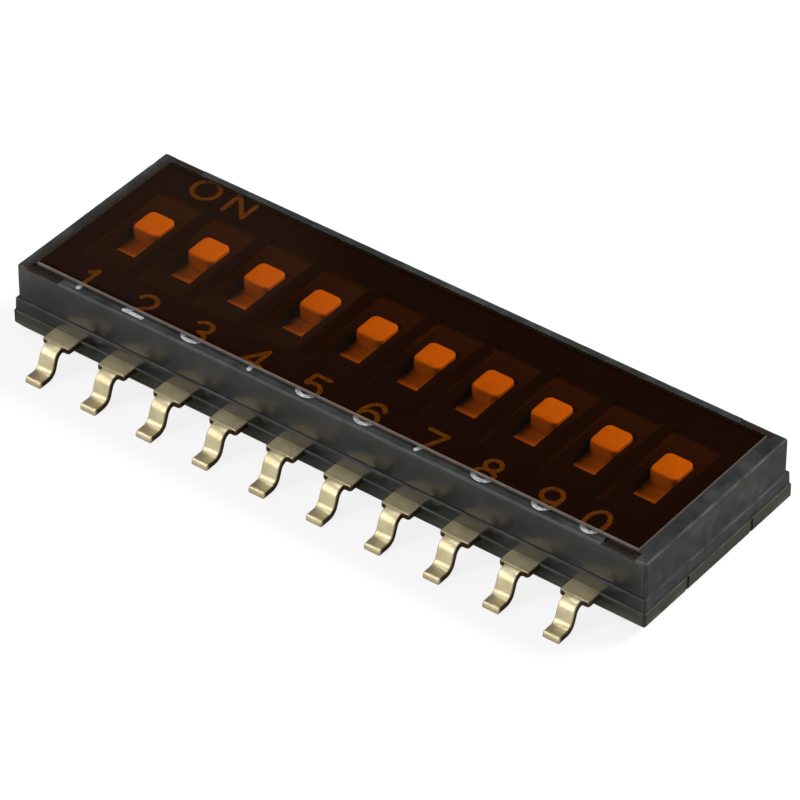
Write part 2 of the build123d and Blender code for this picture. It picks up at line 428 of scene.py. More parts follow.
white_plastic = make_white_plastic()
ink = make_ink()
plated_strip = make_plated_strip()
contact_gold = make_contact_gold()
for number in NUMBERS:
    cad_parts[f"wiper_{number}"].material_slots[0].material = contact_gold
print("finishes", white_plastic.name, ink.name, plated_strip.name, contact_gold.name)

# %% [markdown]
# ## The housing, cut from blocks
#
# The base and the lid are straight-walled mouldings: tiers, pockets, channels and windows, all
# square to the axes. Such a solid is easiest to describe by cutting planes. The planes divide
# space into cells, an array says which cells are filled, and the skin is every square between a
# filled cell and an empty one. That skin is closed by its nature. The outer edges are then
# rounded by drawing each point near an edge in from the square corner to the circle.

# %% Helpers for solids cut from blocks
EDGE_STEPS = np.tan(np.radians([0, 15, 30, 45]))
PLANE_DIGITS = 6
CLOSEST_PLANES = 1e-4
TINY = 1e-9
LATTICE_VALUES = 4096
LATTICE_STEPS = np.array([73, 179, 283])
DENT = 0.008
DENT_CELLS = (0.35, 0.12)
DENT_LEVEL = 0.9


def planes(*places, spacing=None):
    """Sorted cutting planes, with evenly spaced ones added between the ends."""
    lines = np.concatenate([np.atleast_1d(place).ravel() for place in places])
    if spacing:
        lines = np.concatenate([lines, np.arange(lines.min() + spacing, lines.max(), spacing)])
    lines = np.unique(np.round(lines, PLANE_DIGITS))
    return lines[np.concatenate([[True], np.diff(lines) > CLOSEST_PLANES])]


def round_planes(reach, radius):
    """Planes where an edge rounded to this radius needs points, at both ends of an outline."""
    steps = reach - radius + radius * EDGE_STEPS
    return np.concatenate([-steps, steps])


def middles(values):
    """Middles of the gaps in a row of values."""
    return (values[1:] + values[:-1]) / 2


def within(values, low, high):
    """Which cells lie between two places, told by their middles."""
    return (middles(values) > low) & (middles(values) < high)


def to_pole(x):
    """How far places along X are from the axis of the nearest pole."""
    return np.abs(x[:, None] - pole_places).min(1)


def solid(x, y, z):
    """Cells that lie within three ranges at once."""
    return x[:, None, None] & y[None, :, None] & z[None, None, :]


def block(xs, ys, half, levels):
    """Cells of a block about the middle: half sizes along X and Y, at the levels given."""
    return solid(within(xs, -half[0], half[0]), within(ys, -half[1], half[1]), levels)


def block_skin(xs, ys, zs, filled):
    """Skin of the filled cells: a square at each plane where filled changes, facing the empty side."""
    points = np.stack(np.meshgrid(xs, ys, zs, indexing="ij"), -1).reshape(-1, 3)
    counts = np.array([xs.size, ys.size, zs.size])
    steps = np.array([counts[1] * counts[2], counts[2], 1])
    padded = np.pad(filled.astype(int), 1)
    faces = []
    for axis in range(3):
        one, two = np.roll(np.arange(3), -axis)[1:]
        change = np.diff(padded, axis=axis)
        cells = np.argwhere(change)
        side = change[tuple(cells.T)] < 0
        cells[:, [one, two]] -= 1
        corner = cells @ steps
        square = np.stack([corner, corner + steps[one], corner + steps[one] + steps[two],
                           corner + steps[two]], -1)
        faces.append(np.where(side[:, None], square, square[:, ::-1]))
    faces = np.concatenate(faces)
    used, index = np.unique(faces, return_inverse=True)
    return points[used], index.reshape(-1, 4)


def round_box(points, low, high, radius):
    """Rounds a box's edges: offset from the inner box times its largest part over its length.
    Also gives how near each point is to an edge, the second largest part over the radius."""
    core = np.clip(points, low + radius, high - radius)
    offset = points - core
    parts = np.sort(np.abs(offset), axis=-1)
    length = np.maximum(np.linalg.norm(offset, axis=-1), TINY)
    pulled = core + offset * (np.maximum(parts[:, 2], TINY) / length)[:, None]
    return pulled, parts[:, 1] / radius


def faces_the_ends(x, start):
    """Which faces look along X, or lie past the start of the rounding at either end."""
    return (np.ptp(x, axis=1) < WELD) | (np.abs(x) > start - WELD).all(1)


def lumps(points, cell, seed):
    """Smooth noise from 0 to 1: seeded values on a lattice, blended in each cell by 3t^2 - 2t^3."""
    table = np.random.default_rng(seed).random(LATTICE_VALUES)
    corner = np.floor(points / cell).astype(int)
    blend = points / cell - corner
    blend = blend * blend * (3 - 2 * blend)
    total = np.zeros(len(points))
    for step in np.ndindex(2, 2, 2):
        where = np.array(step)
        picked = table[((corner + where) @ LATTICE_STEPS) % LATTICE_VALUES]
        total += picked * np.where(where, blend, 1 - blend).prod(-1)
    return total


def make_dents(points, edge, seed):
    """Depth of the dents: how near the edge is, times lumps of two sizes above a level."""
    coarse = lumps(points, DENT_CELLS[0], seed)
    fine = lumps(points, DENT_CELLS[1], seed + 1)
    return DENT * edge * np.maximum(coarse + fine - DENT_LEVEL, 0)


# %% [markdown]
# ### The base
#
# The base is a tray in two tiers with a bevel round its foot, a pocket for the lid's lip, four
# small notches at its ends and a seat for every lead. The seats are cut out, so the leads that
# come later fill them. The edges are rounded to a few hundredths of a millimetre and dented a
# little, which is what makes their highlights break up as they do on a handled part. The lower
# tier is painted paler: painted light, standing in for the light it gets from the floor.

# %% Make the base
ENDS = np.array([-1, 1])
FAR_BELOW = 1.0
SKIN_SPACING = 0.08
LOWER_STEP = 0.03
TIER_EDGE = 0.03
BEVEL_HEIGHT = 0.14
BEVEL_SLOPE = math.tan(math.radians(38))
LEAD_THICKNESS = 0.12
POCKET_HALF = np.array([6.415, 1.78])
UNDERSIDE_RIM = 0.45
UNDERSIDE_RECESS = 0.06
NOTCH_PLACE = 0.96
NOTCH_HALF_WIDTH = 0.05
NOTCH_DEPTH = 0.02
DENT_ZONE = 0.1
DENTED_FROM = 0.1
BEVEL_WEAR_AND_HIGHLIGHT = 0.8
TIER_PAINTED_LIGHT = 0.8
FRONT_PAD_END = -0.05
BACK_PAD_END = 0.60


def make_base():
    """Two-tier tray: tiers minus pocket, underside, notches and lead seats, then its edges rounded."""
    outer = base_high[:2]
    upper = outer - LOWER_STEP
    bottom = base_low[2]
    rim = outer - UNDERSIDE_RIM
    seat_floor = floor_level - LEAD_THICKNESS
    seat_half = (lead_high[0] - lead_low[0]) / 2
    seats = np.concatenate([pole_places - seat_half, pole_places + seat_half])
    xs = planes(round_planes(outer[0], TIER_EDGE), round_planes(upper[0], TIER_EDGE), seats,
                ENDS * POCKET_HALF[0], ENDS * rim[0], ENDS * (outer[0] - NOTCH_DEPTH),
                spacing=SKIN_SPACING)
    ys = planes(round_planes(outer[1], TIER_EDGE), round_planes(upper[1], TIER_EDGE),
                ENDS * POCKET_HALF[1], ENDS * rim[1], FRONT_PAD_END, BACK_PAD_END,
                np.add.outer(ENDS * NOTCH_PLACE, ENDS * NOTCH_HALF_WIDTH), spacing=SKIN_SPACING)
    edge_heights = TIER_EDGE * (EDGE_STEPS - 1)
    zs = planes(bottom, bottom + UNDERSIDE_RECESS, bottom + BEVEL_HEIGHT, seat_floor,
                floor_level + edge_heights, seam_level + edge_heights)
    low_tier = within(zs, bottom, floor_level)
    filled = block(xs, ys, outer, low_tier) | block(xs, ys, upper, ~low_tier)
    filled &= ~block(xs, ys, POCKET_HALF, ~low_tier)
    filled &= ~block(xs, ys, rim, within(zs, bottom, bottom + UNDERSIDE_RECESS))
    at_ends = ~within(xs, NOTCH_DEPTH - outer[0], outer[0] - NOTCH_DEPTH)
    at_notch = np.abs(np.abs(middles(ys)) - NOTCH_PLACE) < NOTCH_HALF_WIDTH
    filled &= ~solid(at_ends, at_notch, low_tier)
    at_seat = to_pole(middles(xs)) < seat_half
    beyond_pads = within(ys, ys[0], FRONT_PAD_END) | within(ys, BACK_PAD_END, ys[-1])
    filled &= ~solid(at_seat, beyond_pads, within(zs, seat_floor, floor_level))

    points, faces = block_skin(xs, ys, zs, filled)
    on_ends = faces_the_ends(points[faces, 0], upper[0] - TIER_EDGE)
    low = points[:, 2] <= floor_level + WELD
    reach = np.where(low[:, None], outer, upper)
    box_low = np.column_stack([-reach, np.full(len(points), bottom - FAR_BELOW)])
    box_high = np.column_stack([reach, np.where(low, floor_level, seam_level)])
    points, edge = round_box(points, box_low, box_high, TIER_EDGE)
    below_bevel = bottom + BEVEL_HEIGHT - points[:, 2]
    on_bevel = (np.abs(below_bevel) < WELD) & (np.abs(points[:, :2]) > outer - WELD).any(1)
    # The bevel counts as an edge, so it gets the grey of rubbing and painted highlight.
    edge = np.maximum(edge, BEVEL_WEAR_AND_HIGHLIGHT * on_bevel)
    foot = outer - np.maximum(below_bevel, 0)[:, None] * BEVEL_SLOPE
    points[:, :2] = np.clip(points[:, :2], -foot, foot)
    dents = make_dents(points, edge, seed=3)
    near_wall = np.abs(points[:, :2]) > upper - DENT_ZONE
    points[:, :2] -= np.sign(points[:, :2]) * near_wall * dents[:, None]
    points[:, 2] -= dents * (edge > DENTED_FROM)
    # Painted light: the lower tier is painted paler, as if lit from the floor.
    painted_light = np.where(points[:, 2] < floor_level - WELD, TIER_PAINTED_LIGHT, 0)
    return points, faces, on_ends, {"edge": edge, "painted_light": painted_light, "bare": np.ones(len(points))}


points, faces, on_ends, looks = make_base()
add_piece("base_shell", points, faces, [black_plastic, end_plastic], finish="housing_black",
          stands_for=["base"], face_materials=on_ends, **looks)
print("base", len(points), "points", len(faces), "faces")

# %% [markdown]
# ### The lid
#
# The lid is made the same way: a block with a lip below it, and at each pole a shallow recess, a
# window through the roof and a wide channel underneath where the slide runs. Near the ends of its
# long edges the top is cut down in a short step, painted dark brown. The same brown lies along the
# film's left end, partly dried glue and partly painted shade. The floors of the recesses are painted
# paler grey towards the back, behind the knobs: painted light.

# %% Make the lid
LID_EDGE = 0.055
RECESS_HALF = np.array([0.515, 1.185])
RECESS_DEPTH = 0.06
WINDOW_HALF = np.array([0.32, 0.65])
CHANNEL_HALF = np.array([0.53, 1.61])
LIP_HALF = np.array([6.395, 1.76])
ROOF_THICKNESS = 0.33
RELIEF_POST = 0.24
RELIEF_LENGTH = 0.72
RELIEF_DEPTH = 0.035
GLUE_AND_SHADE_REACH = 0.20
GLUE_AND_SHADE_FADE = 0.10
LONG_EDGE_WEAR_AND_HIGHLIGHT = 0.45


def make_lid():
    """Lid: shell and lip minus channels, recesses, windows and end steps, then its edges rounded."""
    outer = cover_high[:2]
    halves = np.array([RECESS_HALF[0], WINDOW_HALF[0], CHANNEL_HALF[0]])
    step_end = outer[0] - RELIEF_POST
    step_start = step_end - RELIEF_LENGTH
    step_floor = cover_top - RELIEF_DEPTH
    recess_floor = cover_top - RECESS_DEPTH
    roof = cover_top - ROOF_THICKNESS
    xs = planes(round_planes(outer[0], LID_EDGE), ENDS * LIP_HALF[0], ENDS * step_start, ENDS * step_end,
                np.add.outer(pole_places, np.concatenate([-halves, halves])), spacing=SKIN_SPACING)
    ys = planes(round_planes(outer[1], LID_EDGE), ENDS * LIP_HALF[1], ENDS * film_high[1],
                ENDS * RECESS_HALF[1], ENDS * WINDOW_HALF[1], ENDS * CHANNEL_HALF[1],
                spacing=SKIN_SPACING)
    zs = planes(cover_low[2], seam_level, roof, step_floor, recess_floor,
                cover_top + LID_EDGE * (EDGE_STEPS - 1))
    every_level = np.ones(zs.size - 1, bool)
    above_seam = within(zs, seam_level, cover_top)
    filled = block(xs, ys, outer, above_seam) | block(xs, ys, LIP_HALF, every_level)
    for half, levels in ((CHANNEL_HALF, within(zs, cover_low[2], roof)),
                         (RECESS_HALF, within(zs, recess_floor, cover_top)),
                         (WINDOW_HALF, every_level)):
        filled &= ~solid(to_pole(middles(xs)) < half[0], within(ys, -half[1], half[1]), levels)
    at_steps = within(xs, step_start, step_end) | within(xs, -step_end, -step_start)
    beyond_film = ~within(ys, -film_high[1], film_high[1])
    filled &= ~solid(at_steps, beyond_film, within(zs, step_floor, cover_top))

    points, faces = block_skin(xs, ys, zs, filled)
    on_ends = faces_the_ends(points[faces, 0], outer[0] - LID_EDGE)
    x, y, z = np.abs(points.T)
    in_step = (np.abs(z - step_floor) < WELD) & (y > film_high[1] - WELD) & (x > step_start - WELD)
    past_film = film_low[0] - points[:, 0]
    on_margin = (past_film > -WELD) & (z > cover_top - WELD)
    # Dark brown along the film's left end: partly dried glue, partly painted shade.
    glue_and_shade = np.clip((GLUE_AND_SHADE_REACH - past_film) / GLUE_AND_SHADE_FADE, 0, 1) * on_margin
    # Painted light: recess floors are painted paler towards the back.
    in_recess = (np.abs(z - recess_floor) < WELD) & (y < RECESS_HALF[1] + WELD)
    looks = {"glue_and_shade": np.maximum(glue_and_shade, in_step),
             "painted_light": in_recess * np.clip(points[:, 1] / RECESS_HALF[1], 0, 1)}
    low, high = np.append(-outer, cover_low[2] - FAR_BELOW), np.append(outer, cover_top)
    points, edge = round_box(points, low, high, LID_EDGE)
    # Rubbing and painted highlight: the long edges get less of the edge grey than the ends.
    edge *= np.where(np.abs(points[:, 0]) > outer[0] - LID_EDGE, 1, LONG_EDGE_WEAR_AND_HIGHLIGHT)
    dents = make_dents(points, edge, seed=5)
    points -= np.sign(points) * (np.abs(points) > high - LID_EDGE) * dents[:, None]
    looks["edge"] = edge
    looks["bare"] = (np.abs(points[:, :2]) > film_high[:2]).any(1).astype(float)
    return points, faces, on_ends, looks


points, faces, on_ends, looks = make_lid()
add_piece("lid_shell", points, faces, [black_plastic, end_plastic], finish="housing_black",
          stands_for=["cover"], face_materials=on_ends, **looks)
print("lid", len(points), "points", len(faces), "faces")

# %% [markdown]
# ### The film
#
# The film is a thin slab with cut edges. It lies flat where it is glued and sinks by a few
# microns over each recess, so its reflections aren't those of a sheet of glass. The print lies
# between it and the lid, which is why its under face starts a hair above the lid. At the front and
# the right the rounded rim takes the cut edge's matt finish, and at the front its painted highlight.

# %% Make the film
PRINT_THICKNESS = 0.004
FILM_LIFT = 0.006
FILM_CORNER = 0.02
FILM_SAG = 0.006
FILM_SPACING = 0.13
FACE, OVER_AIR, GLUED, CUT = range(4)


def make_film_slab():
    """Thin slab, its top edges rounded, that sinks by s(1 - u^2)(1 - v^2) over each recess."""
    outer = film_high[:2]
    xs = planes(round_planes(outer[0], FILM_CORNER), np.add.outer(pole_places, ENDS * RECESS_HALF[0]),
                spacing=FILM_SPACING)
    ys = planes(round_planes(outer[1], FILM_CORNER), ENDS * RECESS_HALF[1], spacing=FILM_SPACING)
    zs = planes(film_low[2] + FILM_LIFT, film_high[2] + FILM_CORNER * (EDGE_STEPS - 1))
    points, faces = block_skin(xs, ys, zs, block(xs, ys, outer, within(zs, zs[0], zs[-1])))
    x, y, z = points[faces].mean(1).T
    open_below = (to_pole(x) < RECESS_HALF[0]) & (np.abs(y) < RECESS_HALF[1])
    under = z < zs[0] + WELD
    cut = (np.abs(x) > outer[0] - WELD) | (np.abs(y) > outer[1] - WELD)
    cut |= ((x > outer[0] - FILM_CORNER) | (y < FILM_CORNER - outer[1])) & ~under
    slots = np.select([cut, under & ~open_below, under], [CUT, GLUED, OVER_AIR], FACE)
    low, high = np.append(-outer, zs[0] - FAR_BELOW), np.append(outer, zs[-1])
    points, _ = round_box(points, low, high, FILM_CORNER)
    across = to_pole(points[:, 0]) / RECESS_HALF[0]
    along = np.abs(points[:, 1]) / RECESS_HALF[1]
    points[:, 2] -= FILM_SAG * np.clip(1 - across ** 2, 0, 1) * np.clip(1 - along ** 2, 0, 1)
    return points, faces, slots


points, faces, slots = make_film_slab()
film_finishes = [film_face, film_open, film_glued, film_edge]
add_piece("film_sheet", points, faces, film_finishes, finish="amber_film", stands_for=["seal_tape"],
          face_materials=slots)
print("film", len(points), "points")

# %% [markdown]
# ## The leads
#
# A lead is a flat blank, wide at the shoulder and narrow at the leg, bent twice. It is drawn as
# one rounded bar carried along a path. The path is found from its heading: level, turning down
# over the first bend, straight down the leg, turning back over the second and level again along
# the foot. Adding up the cosine and sine of the heading gives the place at every station. The toe
# is where the press cut the lead off, and that cut leans back.

# %% Make one lead as a bar carried along its bends
LEG_WIDTH = 0.36
SHOULDER_REACH = 0.315
KNEE_REACH = 0.465
LEG_LEAN = 20.0
LEAD_BEND = 0.20
LEAD_EDGE = 0.03
SHOULDER_CORNER = 0.04
TOE_SLANT = 20.0
CORNER_ANGLES = np.linspace(0, 90, 5)
END_ANGLES = np.radians(np.linspace(0, 90, 4))
SHOULDER_STATIONS = 12
BEND_LEG_BEND_FOOT_STATIONS = (10, 5, 12, 8)
PATH_STEPS = 2000


def running_sum(steps):
    """Sum so far at the start, after the first step, after the second, and so on."""
    return np.concatenate([[0], np.cumsum(steps)])


def carry(path, sideways, upward, half_width, half_height, radius):
    """Rounded bar: at each station a rectangle whose corners are quarter circles of the radius.
    Point = path + x * sideways + z * upward, x = sign * (half width - radius) + radius * cos.
    A direction is given at each station, or once for all of them."""
    sideways, upward = (np.broadcast_to(way, path.shape) for way in (sideways, upward))
    turn = np.radians(np.concatenate([CORNER_ANGLES + 90 * quarter for quarter in range(4)]))
    sign_x = np.repeat([1, -1, -1, 1], CORNER_ANGLES.size)
    sign_z = np.repeat([1, 1, -1, -1], CORNER_ANGLES.size)
    x = sign_x * (half_width - radius)[:, None] + radius[:, None] * np.cos(turn)
    z = sign_z * (half_height - radius)[:, None] + radius[:, None] * np.sin(turn)
    points = path[:, None] + x[..., None] * sideways[:, None] + z[..., None] * upward[:, None]
    return points, grid_faces(*points.shape[:2], closed=True), x, np.abs(np.cos(turn))


def rounded_ends(stations, half_width, half_height, corner, end):
    """Stations with both ends rounded and closed: near an end the section shrinks by r(1 - cos a)
    at r sin a along, and the last station has no size, so that it welds to a point."""
    shrink = end * (1 - np.cos(END_ANGLES))
    forward = end * np.sin(END_ANGLES)
    inside = (stations > stations[0] + end) & (stations < stations[-1] - end)
    first = stations[0] + end - forward
    last = stations[-1] - end + forward
    places = np.concatenate([first[-1:], first[::-1], stations[inside], last, last[-1:]])
    closed = np.concatenate([[0], np.ones(places.size - 2), [0]])
    less = np.concatenate([[0], shrink[::-1], np.zeros(inside.sum()), shrink, [0]])
    widths = np.concatenate([half_width[:1], np.repeat(half_width[0], shrink.size), half_width[inside],
                             np.repeat(half_width[-1], shrink.size), half_width[-1:]])
    return places, (widths - less) * closed, (half_height - less) * closed, (corner - less) * closed


def make_lead(pad_end, toe):
    """Gull-wing lead of the +Y row about x = 0, with the values that its finish reads."""
    knee = base_high[1] + KNEE_REACH
    turn = math.radians(90 - LEG_LEAN)
    tangent = LEAD_BEND * math.tan(turn / 2)
    drop = floor_level - LEAD_THICKNESS
    leg = drop / math.cos(math.radians(LEG_LEAN)) - 2 * tangent
    heel = knee + drop * math.tan(math.radians(LEG_LEAN))
    lengths = np.array([knee - tangent - pad_end, LEAD_BEND * turn, leg, LEAD_BEND * turn,
                        toe - heel - tangent])
    marks = running_sum(lengths)
    headings = np.array([0, 0, -turn, -turn, 0, 0])

    step = base_high[1] + SHOULDER_REACH - pad_end
    corner = SHOULDER_CORNER * np.sin(END_ANGLES)
    bulge = SHOULDER_CORNER * (1 - np.cos(END_ANGLES))
    wide = np.linspace(0, step - SHOULDER_CORNER, SHOULDER_STATIONS)[:-1]
    spans = zip([step + SHOULDER_CORNER, *marks[2:5]], marks[2:], BEND_LEG_BEND_FOOT_STATIONS)
    narrow = np.concatenate([np.linspace(start, end, count)[1:] for start, end, count in spans])
    stations = np.concatenate([wide, step - SHOULDER_CORNER + corner,
                               step + SHOULDER_CORNER - corner[::-1], narrow])
    wide_half, narrow_half = (lead_high[0] - lead_low[0]) / 2, LEG_WIDTH / 2
    half_width = np.concatenate([np.full(wide.size, wide_half), wide_half - bulge,
                                 narrow_half + bulge[::-1], np.full(narrow.size, narrow_half)])
    half_height = LEAD_THICKNESS / 2

    s, widths, heights, radii = rounded_ends(stations, half_width, half_height, LEAD_EDGE, LEAD_EDGE)
    fine = np.linspace(0, marks[-1], PATH_STEPS)
    heading = middles(np.interp(fine, marks, headings))
    run = running_sum(np.diff(fine) * np.cos(heading))
    rise = running_sum(np.diff(fine) * np.sin(heading))
    angle = np.interp(s, marks, headings)
    nothing = np.zeros_like(s)
    path = np.column_stack([nothing, pad_end + np.interp(s, fine, run),
                            floor_level - half_height + np.interp(s, fine, rise)])
    upward = np.column_stack([nothing, -np.sin(angle), np.cos(angle)])
    points, faces, across, side = carry(path, (1, 0, 0), upward, widths, heights, radii)
    at_toe = np.interp(s, [marks[-1] - LEAD_THICKNESS, marks[-1] - LEAD_EDGE], [0, 1])
    points[..., 1] -= math.tan(math.radians(TOE_SLANT)) * at_toe[:, None] * (points[..., 2] - LEAD_EDGE)
    strip = np.stack(np.broadcast_arrays(across, s[:, None], 0.0), -1)
    sheared = side ** 2 * (s < marks[-1] - LEAD_EDGE)[:, None]
    matt = np.broadcast_to(np.interp(s, marks[1:5], [1, 0, 0, 1])[:, None], across.shape)
    looks = {"strip": strip.reshape(-1, 3), "sheared": sheared.ravel(), "matt": matt.ravel()}
    return points.reshape(-1, 3), faces, looks


# %% [markdown]
# The front row is the back row turned half round. Its contact pads reach further in, so that a
# wiper in the off place still rests on them. In the third direction of "strip" each lead is moved on
# by one from the lead before it, so no two leads of a row are stained alike.

# %% Make both rows of leads
for row, pad_end, way in (("front", -FRONT_PAD_END, -1), ("back", BACK_PAD_END, 1)):
    toe = np.abs(box_mm(f"{row}_lead_01")).max(axis=0)[1]
    points, faces, looks = make_lead(pad_end, toe)
    for number, place in zip(NUMBERS, pole_places):
        placed = points * [way, way, 1] + [place, 0, 0]
        looks["strip"] = looks["strip"] + [0, 0, 1]
        add_piece(f"{row}_lead_strip_{number}", placed, faces, [plated_strip], finish="lead_gold",
                  stands_for=[f"{row}_lead_{number}"], **looks)
    print(row, "leads", len(points), "points each, toe at", round(float(toe), 3))

# %% [markdown]
# ## The slides
#
# A slide is a plate with a knob on it, two skirts below and a stake for its spring. Only the knob
# and the plate beside it show, through window and film. The knob is a post: the same rounded bar
# as the lead, carried straight up, with generous corners and a soft top edge as moulded knobs have.

# %% Make the slides from posts
KNOB_HALF = np.array([0.29, 0.31])
PLATE_THICKNESS = 0.30
SLIDE_CLEARANCE = 0.015
SKIRT_WALL = 0.12
SKIRT_SINK = 0.05
SPRING_THICKNESS = 0.05
STAKE_HALF = 0.10
STAKE_SINK = 0.1
STAKE_OVERLAP = 0.01
HEAD_HALF = 0.15
HEAD_HEIGHT = 0.04
PLATE_CORNER_AND_EDGE = (0.06, 0.02)
KNOB_CORNER_AND_EDGE = (0.125, 0.04)
SKIRT_CORNER_AND_EDGE = (0.03, 0.02)
STAKE_CORNER_AND_EDGE = (0.02, 0.01)
HEAD_CORNER_AND_EDGE = (0.04, 0.015)
POST_STATIONS = 6


def post(half_x, half_y, low, high, corner, edge, x=0.0):
    """Upright post about the axis of a slide: a rounded rectangle carried up, both ends rounded."""
    stations = np.linspace(low, high, POST_STATIONS)
    half_width = np.full(POST_STATIONS, half_x)
    s, widths, depths, corners = rounded_ends(stations, half_width, half_y, corner, edge)
    nothing = np.zeros_like(s)
    path = np.column_stack([nothing + x, nothing, s])
    points, faces, _, _ = carry(path, (1, 0, 0), (0, 1, 0), widths, depths, corners)
    return points.reshape(-1, 3), faces


slide_low, slide_high = box_mm("slider_01")
slide_half = (slide_high - slide_low) / 2
slide_middle = (slide_high + slide_low) / 2
plate_top = cover_top - ROOF_THICKNESS - SLIDE_CLEARANCE
plate_bottom = plate_top - PLATE_THICKNESS
spring_bottom = plate_bottom - SPRING_THICKNESS
skirt_place = slide_half[0] - SKIRT_WALL / 2
skirts = [post(SKIRT_WALL / 2, slide_half[1], slide_low[2], plate_top - SKIRT_SINK,
               *SKIRT_CORNER_AND_EDGE, x=side * skirt_place) for side in ENDS]
points, faces = join(
    post(*slide_half[:2], plate_bottom, plate_top, *PLATE_CORNER_AND_EDGE),
    post(*KNOB_HALF, plate_top - PLATE_THICKNESS / 2, slide_high[2], *KNOB_CORNER_AND_EDGE), *skirts,
    post(STAKE_HALF, STAKE_HALF, spring_bottom - STAKE_OVERLAP, plate_top - STAKE_SINK,
         *STAKE_CORNER_AND_EDGE),
    post(HEAD_HALF, HEAD_HALF, spring_bottom - HEAD_HEIGHT, spring_bottom, *HEAD_CORNER_AND_EDGE))
for number, place in zip(NUMBERS, pole_places):
    add_piece(f"slide_knob_{number}", points + [place, slide_middle[1], 0], faces, [white_plastic],
              body=f"slide_{number}", finish="slide_white", stands_for=[f"slider_{number}"])
print("slides", len(points), "points each")

# %% [markdown]
# ## The print
#
# The pole numbers and the ON mark are printed on the lid in a plain single-stroke letter. Each
# stroke is a line or an arc, written as shares of the letter's height, and is carried as a thin
# flat bar whose half width follows a half circle at both ends. The numbers stand so near the edge
# that their feet come out from under the film: there the ink shows white, and above it orange.

# %% Draw the letters
DIGIT_HEIGHT = 0.60
DIGIT_FOOT = -2.0
DIGIT_SHIFT = 0.12
LAST_DIGIT_SHIFT = -0.15
STROKE = 0.09
STROKE_LIFT = 0.0004
ON_HEIGHT = 0.53
ON_FOOT = 1.38
ON_PLACES = (-5.57, -4.76)
LINE_POINTS = 12
ARC_POINTS = 40
RING_STATIONS = 64
STROKE_STATIONS = 48
CAP_ANGLES = np.linspace(0, math.pi / 2, 8)


def line(start, end):
    """Points along a straight stroke."""
    return np.linspace(start, end, LINE_POINTS)


def arc(centre, size, start, end):
    """Points along an arc: centre + size * (cos, sin), from one angle to another in degrees."""
    turn = np.radians(np.linspace(start, end, ARC_POINTS))
    return np.array(centre) + np.array(size) * np.column_stack([np.cos(turn), np.sin(turn)])


SIX = [arc((0.02, 0.50), (0.34, 0.50), 38, 190), arc((0, 0.31), (0.32, 0.31), 0, 360)]
LETTERS = {
    "1": [line((0.03, 0), (0.03, 1)), line((0.03, 1), (-0.17, 0.80))],
    "2": [arc((0, 0.70), (0.31, 0.30), 165, -38), line((0.244, 0.515), (-0.32, 0)),
          line((-0.32, 0), (0.34, 0))],
    "3": [arc((-0.02, 0.755), (0.28, 0.245), 155, -90), arc((-0.02, 0.255), (0.33, 0.255), 90, -150)],
    "4": [line((0.14, 0), (0.14, 1)), line((0.14, 1), (-0.34, 0.28)), line((-0.34, 0.28), (0.34, 0.28))],
    "5": [line((0.28, 1), (-0.24, 1)), line((-0.24, 1), (-0.28, 0.56)),
          arc((0, 0.32), (0.33, 0.32), 138, -142)],
    "6": SIX,
    "7": [line((-0.32, 1), (0.32, 1)), line((0.32, 1), (-0.10, 0))],
    "8": [arc((0, 0.76), (0.25, 0.24), 0, 360), arc((0, 0.26), (0.32, 0.26), 0, 360)],
    "9": [np.array([0, 1]) - stroke for stroke in SIX],
    "0": [arc((0, 0.5), (0.33, 0.5), 0, 360)],
    "O": [arc((0, 0.5), (0.50, 0.5), 0, 360)],
    "N": [line((-0.42, 0), (-0.42, 1)), line((-0.42, 1), (0.42, 0)), line((0.42, 0), (0.42, 1))],
}


def make_stroke(route, lift):
    """Thin flat bar along a route in the lid's plane, its half width sqrt(r^2 - p^2) at p past an end.
    A route that ends where it began makes a ring, and the lift keeps crossing strokes apart."""
    ways = np.diff(route, axis=0)
    gone = running_sum(np.linalg.norm(ways, axis=1))
    total = gone[-1]
    reach = STROKE / 2
    s = np.linspace(0, total, RING_STATIONS)
    if not np.allclose(route[0], route[-1]):
        caps = reach * np.cos(CAP_ANGLES)
        s = np.concatenate([-caps, np.linspace(0, total, STROKE_STATIONS)[1:-1], total + caps[::-1]])
    run = np.clip(s, 0, total)
    direction = ways / np.linalg.norm(ways, axis=1, keepdims=True)
    heading = np.column_stack([np.interp(run, middles(gone), part) for part in direction.T])
    heading /= np.linalg.norm(heading, axis=1, keepdims=True)
    place = np.column_stack([np.interp(run, gone, part) for part in route.T])
    place += heading * (s - run)[:, None]
    past = np.maximum(np.maximum(-s, s - total), 0)
    half = np.sqrt(np.maximum(reach ** 2 - past ** 2, 0))
    flat = np.zeros_like(s)
    path = np.column_stack([place, flat + cover_top + PRINT_THICKNESS / 2 + lift])
    sideways = np.column_stack([heading[:, 1], -heading[:, 0], flat])
    thin = np.minimum(half, PRINT_THICKNESS / 2)
    points, faces, _, _ = carry(path, sideways, (0, 0, 1), half, thin, flat)
    return points.reshape(-1, 3), faces


def set_letter(letter, x, foot, height):
    """All the strokes of a letter, centred on x and standing on a foot line."""
    return [make_stroke(stroke * height + [x, foot], STROKE_LIFT * layer)
            for layer, stroke in enumerate(LETTERS[letter])]


strokes = []
for number, place in zip(NUMBERS, pole_places):
    shift = LAST_DIGIT_SHIFT if number == NUMBERS[-1] else DIGIT_SHIFT
    strokes += set_letter(number[-1], place + shift, DIGIT_FOOT, DIGIT_HEIGHT)
for letter, place in zip("ON", ON_PLACES):
    strokes += set_letter(letter, place, ON_FOOT, ON_HEIGHT)
points, faces = join(*strokes)
bare = (points[:, 1] < film_low[1]).astype(float)
add_piece("printed_legend", points, faces, [ink], bare=bare)
print("print", len(strokes), "strokes")

